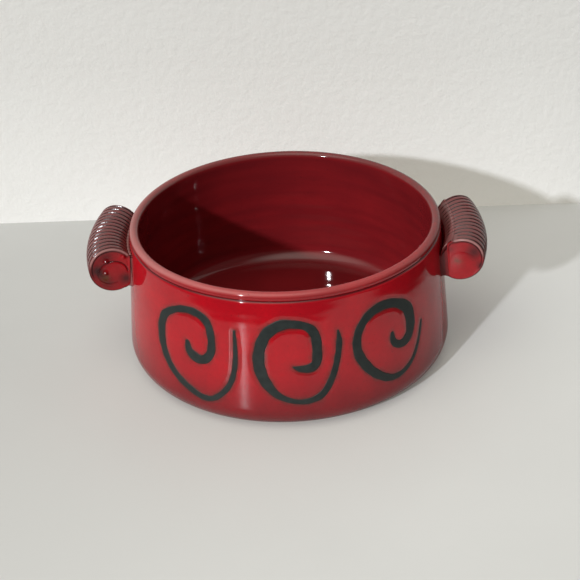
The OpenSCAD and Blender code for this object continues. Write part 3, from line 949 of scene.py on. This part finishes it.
def make_roll(side):
    """A ribbed roll. Its ends are rounded, less so where they run on into the neck."""
    h = HANDLES[side]
    half = h.length / 2
    a = np.arange(ROUND) * TURN / ROUND
    centre_r, centre_z = roll_centre(h)
    joined = neck_side(h, a)
    end_round = END_R * (1 - 0.75 * joined)
    rings, thin, pool, smudge = [], [], [], []

    def add(r, z, s, thinness_and_highlight, pooling_and_shade, smudging=0.0):
        rings.append(on_handle(h, r, z, s))
        thin.append(thinness_and_highlight + np.zeros(ROUND))
        pool.append(pooling_and_shade + np.zeros(ROUND))
        smudge.append(smudging + np.zeros(ROUND))

    def cap_ring(end, share):
        edge_r, edge_z = section(h, a, end_round)
        x = h.press / 2 + (edge_r - centre_r - h.press / 2) * share
        z = (edge_z - centre_z) * share
        dimple_place, reach = END_DIMPLES[side][:2], END_DIMPLES[side][2]
        brown = spot(x, z, dimple_place, 1.3 * reach)
        # The lip's top is paler, a painted highlight
        lip = smoothstep((share - 0.955) / 0.03) * smoothstep(0.2 + 1.6 * np.sin(a)) * (1 - joined)
        s = end * (half - end_dent(side, x, z, share))
        add(centre_r + x, centre_z + z, s, 1.3 * lip, end_pool_and_shade(side, x, z, share) * (1 - lip), brown)

    def edge_ring(end, k):
        v = math.radians(90 * k / EDGE_STEPS)
        r, z = section(h, a, end_round * (1 - math.sin(v)))
        # The rounded edge is paler on top, a painted highlight, and darker below, painted shade
        top = smoothstep(0.3 + 1.4 * np.sin(a)) * (1 - joined)
        bright = 1.0 + 0.8 * (1 - k / EDGE_STEPS)
        s = end * (half - end_round * (1 - math.cos(v)))
        add(r, z, s, bright * top, 0.7 * (1 - top) * (1 - joined))

    def rib_ring(s):
        groove = rib_groove(h, s) * rib_share(h, a, s)
        uneven = 1 + 0.10 * np.sin(2 * a + s * 0.35 + h.seed)
        swell = SWELL * np.sin(a * 3 + s * 0.11 + h.seed)
        ripple = RIPPLE * (np.sin(a * 34 + s * 1.9) + np.sin(a * 47 - s * 2.7 + h.seed))
        r, z = section(h, a, groove * h.rib * uneven - swell - ripple)
        # The grooves between ribs are dark: glaze gathered there and painted shade
        add(r, z, s, 1.0, 0.95 * smoothstep((groove - 0.05) / 0.3))

    for share in CAP_SHARES:
        cap_ring(-1, share)
    for k in range(1, EDGE_STEPS + 1):
        edge_ring(-1, k)
    for s in roll_places(h):
        rib_ring(s)
    for k in range(EDGE_STEPS, 0, -1):
        edge_ring(1, k)
    for share in CAP_SHARES[::-1]:
        cap_ring(1, share)
    faces = [face[::-1] for face in stitch([ROUND] * len(rings))]
    values = handle_state(np.concatenate(thin), np.concatenate(pool))
    values["smudge"] = np.concatenate(smudge)
    obj = make_object(side + "_roll", np.vstack(rings), faces, values)
    obj.data.materials.append(handle_glaze)
    return obj


# A neck thicker than this rises in a curve with these ends, and the ribs run on over it. A
# thinner one is straight.
THICK_NECK = 3.0
THICK_START = (0.9, -2.0)
THICK_PULL = (-6.4, -3.5)

# Lengths on a neck's outline: how far it reaches into the wall, into the roll and out past it,
# the fillet at the wall, and how far its underside is hollow and falls towards the wall
NECK_INSET, NECK_IN_ROLL, NECK_PAST_ROLL = 0.9, 0.55, 0.05
NECK_FILLET_H, NECK_FILLET_W = 1.4, 2.2
NECK_HOLLOW, NECK_FALL = 1.6, 0.3

# The bead along a neck's top: its radius and how pale its glaze is, thin glaze and, above 1, a
# painted highlight
NeckBead = namedtuple("NeckBead", "radius thin")
SQUEEZED_BEAD = NeckBead(0.9, 1.4)
SLIGHT_BEAD = NeckBead(0.12, 1.0)


def neck_climb(h, foot, top):
    """The neck's upper side from its fillet at the wall up to the roll."""
    if h.neck > THICK_NECK:
        start = foot + np.array(THICK_START)
        return start, bend(start, top + np.array(THICK_PULL), top, 21)[1:]
    slope = top - foot
    start = foot + slope * min(0.5, NECK_FILLET_W / np.hypot(*slope))
    return start, [start + (top - start) * t for t in np.linspace(0.15, 0.85, 6)]


def neck_outline(h):
    """The neck's outline as radii and heights, with how pale and how dark its glaze is and how far
    the ribs run on over it. It is darker in the fillet at the wall, low on the climb and under the
    neck, gathered glaze and painted shade, and paler on the upper climb, a painted highlight.
    A slender neck has a bead of clay squeezed out along its top."""
    top = np.array(section(h, math.radians(h.neck_top), -NECK_PAST_ROLL))
    under = np.array(section(h, math.radians(NECK_UNDER), -NECK_PAST_ROLL))
    wall_z = top[1] - math.tan(NECK_SLOPE) * (top[0] - wall_r(top[1]))
    foot = np.array([wall_r(wall_z), wall_z])
    fillet_z = wall_z + NECK_FILLET_H
    fillet_up = (wall_r(fillet_z), fillet_z)
    fillet_out, climb = neck_climb(h, foot, top)
    steep = len(climb) // 3
    bead = SLIGHT_BEAD if h.neck > THICK_NECK else SQUEEZED_BEAD
    bead_centre = top - np.array([0.4, 0.2]) * bead.radius
    hidden = np.radians(np.linspace(h.neck_top + 6, NECK_UNDER - 3, 20))
    under_wall = wall_r(under[1])
    hollow = ((under[0] + under_wall) / 2, under[1] + NECK_HOLLOW)
    under_end = (under_wall, under[1] - NECK_FALL)
    # Darker at the fillet, low on the climb and underneath, gathered glaze and painted shade; paler
    # on the upper climb, a painted highlight
    parts = [
        ([(fillet_up[0] - NECK_INSET, fillet_z)], 0.0, 0.9),
        (bend(fillet_up, foot, fillet_out, 6), 0.1, 0.8),
        (climb[:steep], 0.4, 0.3),
        (climb[steep:], 1.15, 0.0),
        (arc(bead_centre, bead.radius, 170, 10, 7), bead.thin, 0.0),
        (np.c_[section(h, hidden, NECK_IN_ROLL)], 0.3, 0.0),
        (bend(under, hollow, under_end, 8), 0.0, 0.6),
        ([(under_wall - NECK_INSET, under_end[1])], 0.0, 0.6),
    ]
    points = np.vstack([np.array(part).reshape(-1, 2) for part, _, _ in parts])
    thin = np.concatenate([np.full(len(part), value) for part, value, _ in parts])
    pool = np.concatenate([np.full(len(part), value) for part, _, value in parts])
    ribbed = np.zeros(len(points))
    if h.neck > THICK_NECK:
        first = len(parts[0][0]) + len(parts[1][0])
        ribbed[first:first + len(climb)] = smoothstep(np.linspace(-0.6, 1.2, len(climb)))
    return points, thin, pool, ribbed


# A neck's rounded end edges; how pale the top of its end edges is, thin glaze and a painted
# highlight;
# the painted highlight on the left neck's end and the painted shade on the right one's; and how much
# its outline waves
NECK_EDGE_R = 0.8
NECK_EDGE_THIN_AND_HIGHLIGHT = 2.2
NECK_END_HIGHLIGHT = {"left": 1.35, "right": 0.0}
NECK_END_SHADE = {"left": 0.0, "right": 0.55}
NECK_WAVE = {"left": 0.3, "right": 0.04}


def make_neck(side):
    """The slab's plain end between a roll and the wall."""
    h = HANDLES[side]
    outline, thin, pool, ribbed = neck_outline(h)
    way = np.roll(outline, -1, axis=0) - np.roll(outline, 1, axis=0)
    way /= np.hypot(*way.T)[:, None]
    inward = np.c_[way[:, 1], -way[:, 0]]
    half = h.length / 2 - NECK_SHORT
    rings, all_thin_and_highlight, all_pool_and_shade = [], [], []

    def add(s, sunk, end_share):
        cut = ribbed * rib_groove(h, s) * (1 - front_end(h, s, *NECK_PLAIN))
        p = outline + inward * (sunk + cut * h.rib)[:, None]
        rings.append(on_handle(h, p[:, 0], p[:, 1], s))
        edge = 4 * end_share * (1 - end_share)
        # Paler top end edges, thin glaze and a painted highlight, and the painted highlight on the
        # left neck's end
        edge_thin_and_highlight = NECK_EDGE_THIN_AND_HIGHLIGHT * edge * (thin > 0.9) + NECK_END_HIGHLIGHT[side] * end_share
        all_thin_and_highlight.append(thin * (1 - end_share) + edge_thin_and_highlight)
        # The ribs' grooves on the neck are dark too: gathered glaze and painted shade
        groove = np.maximum(pool, 0.9 * smoothstep((cut - 0.05) / 0.3))
        all_pool_and_shade.append(groove * (1 - end_share) + NECK_END_SHADE[side] * end_share)

    def edge_ring(end, v):
        s = end * (half - NECK_EDGE_R * (1 - math.cos(v)) / 2)
        add(s, NECK_EDGE_R * (1 - math.sin(v)), math.cos(v))

    quarter = np.radians(np.linspace(0, 90, 6))
    for v in quarter:
        edge_ring(-1, v)
    for s in [place for place in roll_places(h) if abs(place) < half - NECK_EDGE_R - RING_GAP]:
        wave = math.sin(TURN * s / rib_pitch(h) + h.seed) + 0.5 * math.sin(2.7 * s)
        add(s, NECK_WAVE[side] * wave, 0.0)
    for v in quarter[::-1]:
        edge_ring(1, v)
    values = handle_state(np.concatenate(all_thin_and_highlight), np.concatenate(all_pool_and_shade))
    obj = make_object(side + "_neck", np.vstack(rings), stitch([len(outline)] * len(rings)), values)
    obj.data.set_sharp_from_angle(angle=math.radians(50))
    obj.data.materials.append(handle_glaze)
    return obj


def place(piece, node, slot):
    """A piece is attached to the root and stands in for a CAD node, which is hidden. The slot is not
    used.
    """
    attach(piece, "root")
    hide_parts(node)


place(make_bowl(), "bowl_body", "red_glaze")
for name in SCROLLS:
    place(make_line(name), name, "painted_line")
for side in HANDLES:
    place(make_roll(side), side + "_handle_roll", "handle_glaze")
    place(make_neck(side), side + "_handle_neck", "handle_glaze")


# The table and the wall behind it, in metres. The pale table top ends just outside the view:
# at the right, at the front, and at the left front corner, which is cut off slanting. Beyond
# it reflections and bounced light find a dark room.
TABLE_RIGHT = 0.214
TABLE_FRONT = 0.250
TABLE_CORNER = 0.250
CORNER_WAY = (-0.63, -0.77)
TABLE_EDGE = 0.010
TABLE_Z = -0.00005
WALL_Y = 0.174
STAGE_HALF_W = 3.0
STAGE_H = 2.4
STAGE_STEPS = 12
DARK_ROOM = (0.02, 0.02, 0.02, 1)

# The table is darker at its back left, the wall high up, and both have clouds. The paints are
# a paleness of their own that the camera sees.
TABLE_DARK, TABLE_LIGHT, TABLE_CLOUD = (0.525, 0.53, 0.515), (0.735, 0.74, 0.725), (0.64, 0.645, 0.63)
WALL_DARK, WALL_LIGHT, WALL_CLOUD = (0.53, 0.535, 0.53), (0.64, 0.645, 0.64), (0.52, 0.52, 0.51)
TABLE_PAINT = (0.122, 0.118, 0.108, 1)
TABLE_PAINT_SHARE = 0.19
WALL_PAINT = (0.215, 0.205, 0.175, 1)
BLACK = (0.0, 0.0, 0.0)
GRAIN_H = 0.0012


def sheet_object(name, corners, steps):
    """A flat sheet between four corners."""
    c = [np.array(v, float) for v in corners]
    grid = [(1 - u) * (1 - v) * c[0] + u * (1 - v) * c[1] + u * v * c[2] + (1 - u) * v * c[3]
            for v in np.linspace(0, 1, steps + 1) for u in np.linspace(0, 1, steps + 1)]
    row = steps + 1
    faces = [(j * row + i, j * row + i + 1, (j + 1) * row + i + 1, (j + 1) * row + i)
             for j in range(steps) for i in range(steps)]
    return make_object(name, np.array(grid) / MM, faces)


def table_material():
    """A pale satin board, a little darker towards the back left. Seen by the camera it is a
    little darker in the light and keeps some of its paleness in the shade."""
    n = Nodes("table_pale")
    path = n.add("ShaderNodeLightPath").outputs["Is Camera Ray"]
    x, y = n.axis("X"), n.axis("Y")
    slant = n.math("SUBTRACT", x, y)
    colour = n.mix(n.spread(slant, -0.25, 0.25), TABLE_DARK, TABLE_LIGHT)
    colour = n.mix(n.clouds(), colour, TABLE_CLOUD)
    colour = n.mix(n.math("MULTIPLY", path, TABLE_PAINT_SHARE), colour, BLACK)
    corner = n.math("ADD", n.math("MULTIPLY", x, CORNER_WAY[0]), n.math("MULTIPLY", y, CORNER_WAY[1]))
    forward = n.math("MULTIPLY", y, -1.0)
    beyond = 0.0
    for reach, edge in ((x, TABLE_RIGHT), (forward, TABLE_FRONT), (corner, TABLE_CORNER)):
        beyond = n.math("MAXIMUM", n.spread(reach, edge - TABLE_EDGE, edge + TABLE_EDGE), beyond)
    n.surface(
        Base_Color=colour,
        Roughness=0.25,
        Specular_IOR_Level=0.06,
        Normal=n.bump(n.noise(350, 3, 0.55), 0.04, GRAIN_H),
    )
    n.paint(TABLE_PAINT, path)
    unseen = n.math("SUBTRACT", 1.0, path)
    room = n.add("ShaderNodeBsdfDiffuse")
    room.inputs["Color"].default_value = DARK_ROOM
    return n.blend("ShaderNodeMixShader", n.times(beyond, unseen), room)


def wall_material():
    """A pale plastered wall, brighter low down, that is see-through from behind. The camera
    and glossy reflections see it paler than it lights the object."""
    n = Nodes("wall_pale")
    low = n.spread(n.axis("Z"), 0.12, 0.0)
    colour = n.mix(low, WALL_DARK, WALL_LIGHT)
    colour = n.mix(n.clouds(), colour, WALL_CLOUD)
    n.surface(Base_Color=colour, Roughness=0.85, Normal=n.bump(n.noise(210, 3, 0.55), 0.5, GRAIN_H))
    path = n.add("ShaderNodeLightPath")
    seen = n.math("MAXIMUM", path.outputs["Is Camera Ray"], path.outputs["Is Glossy Ray"])
    n.paint(WALL_PAINT, seen)
    clear = n.add("ShaderNodeBsdfTransparent")
    return n.blend("ShaderNodeMixShader", n.add("ShaderNodeNewGeometry").outputs["Backfacing"], clear)


def make_stage():
    """The table top, and the wall that stands on it behind the bowl."""
    w = STAGE_HALF_W
    level = [(-w, -w, TABLE_Z), (w, -w, TABLE_Z), (w, w, TABLE_Z), (-w, w, TABLE_Z)]
    floor = sheet_object("floor", level, STAGE_STEPS)
    floor.data.materials.append(table_material())
    upright = [(-w, WALL_Y, 0), (w, WALL_Y, 0), (w, WALL_Y, STAGE_H), (-w, WALL_Y, STAGE_H)]
    backdrop = sheet_object("backdrop", upright, STAGE_STEPS)
    backdrop.data.materials.append(wall_material())


# Soft light from above, a little to the front and left, and a low sun from the left
SOFT_LIGHT_FROM = (-0.268, -0.358, 0.894)
SOFT_LIGHT = {"From Min": 0.75, "From Max": 1.0, "To Min": 0.16, "To Max": 2.1}
SOFT_COLOUR = (1.0, 0.975, 0.88, 1)
KEY_AZIMUTH, KEY_ELEVATION, KEY_WIDTH = map(math.radians, (58, 24.5, 2.4))
KEY_ENERGY = 2.35
KEY_COLOUR = (0.94, 0.955, 1.0)
KEY_AWAY = 2.0


def make_world():
    """The soft light, strongest from one side of the sky."""
    world = bpy.data.worlds.new("studio")
    bpy.context.scene.world = world
    world.use_nodes = True
    tree = world.node_tree
    facing = tree.nodes.new("ShaderNodeVectorMath")
    facing.operation = "DOT_PRODUCT"
    facing.inputs[1].default_value = SOFT_LIGHT_FROM
    rise = tree.nodes.new("ShaderNodeMapRange")
    rise.interpolation_type = "SMOOTHSTEP"
    for key, value in SOFT_LIGHT.items():
        rise.inputs[key].default_value = value
    tree.links.new(tree.nodes.new("ShaderNodeTexCoord").outputs["Generated"], facing.inputs[0])
    tree.links.new(facing.outputs["Value"], rise.inputs["Value"])
    tree.links.new(rise.outputs["Result"], tree.nodes["Background"].inputs["Strength"])
    tree.nodes["Background"].inputs["Color"].default_value = SOFT_COLOUR


def make_key_light():
    sun = bpy.data.lights.new("key", "SUN")
    sun.energy = KEY_ENERGY
    sun.angle = KEY_WIDTH
    sun.color = KEY_COLOUR
    key = bpy.data.objects.new("key", sun)
    bpy.context.scene.collection.objects.link(key)
    level = math.cos(KEY_ELEVATION)
    travel = Vector((
        level * math.cos(KEY_AZIMUTH), level * math.sin(KEY_AZIMUTH), -math.sin(KEY_ELEVATION)))
    key.rotation_mode = "QUATERNION"
    key.rotation_quaternion = travel.to_track_quat("-Z", "Y")
    key.location = -travel * KEY_AWAY


# The photograph's camera, from a fit to the bowl's outlines: its place in metres, its lens and
# sensor in mm, and its turns in degrees: to the left, up from straight down, and its roll
CAMERA_PLACE = (0.02499, -0.86757, 0.54320)
CAMERA_LENS, CAMERA_SENSOR_W = 99.328, 36.0
CAMERA_TURNS = (("Z", 1.565), ("X", 59.72), ("Z", -2.769))
CAMERA_NEAR = 0.01


def make_camera():
    data = bpy.data.cameras.new("camera")
    data.sensor_width = CAMERA_SENSOR_W
    data.lens = CAMERA_LENS
    data.clip_start = CAMERA_NEAR
    camera = bpy.data.objects.new("camera", data)
    matrix = Matrix.Translation(CAMERA_PLACE)
    for axis, degrees in CAMERA_TURNS:
        matrix = matrix @ Matrix.Rotation(math.radians(degrees), 4, axis)
    camera.matrix_world = matrix
    bpy.context.scene.collection.objects.link(camera)
    bpy.context.scene.camera = camera


make_stage()
make_world()
make_key_light()
make_camera()
bpy.context.scene.view_settings.view_transform = "Standard"
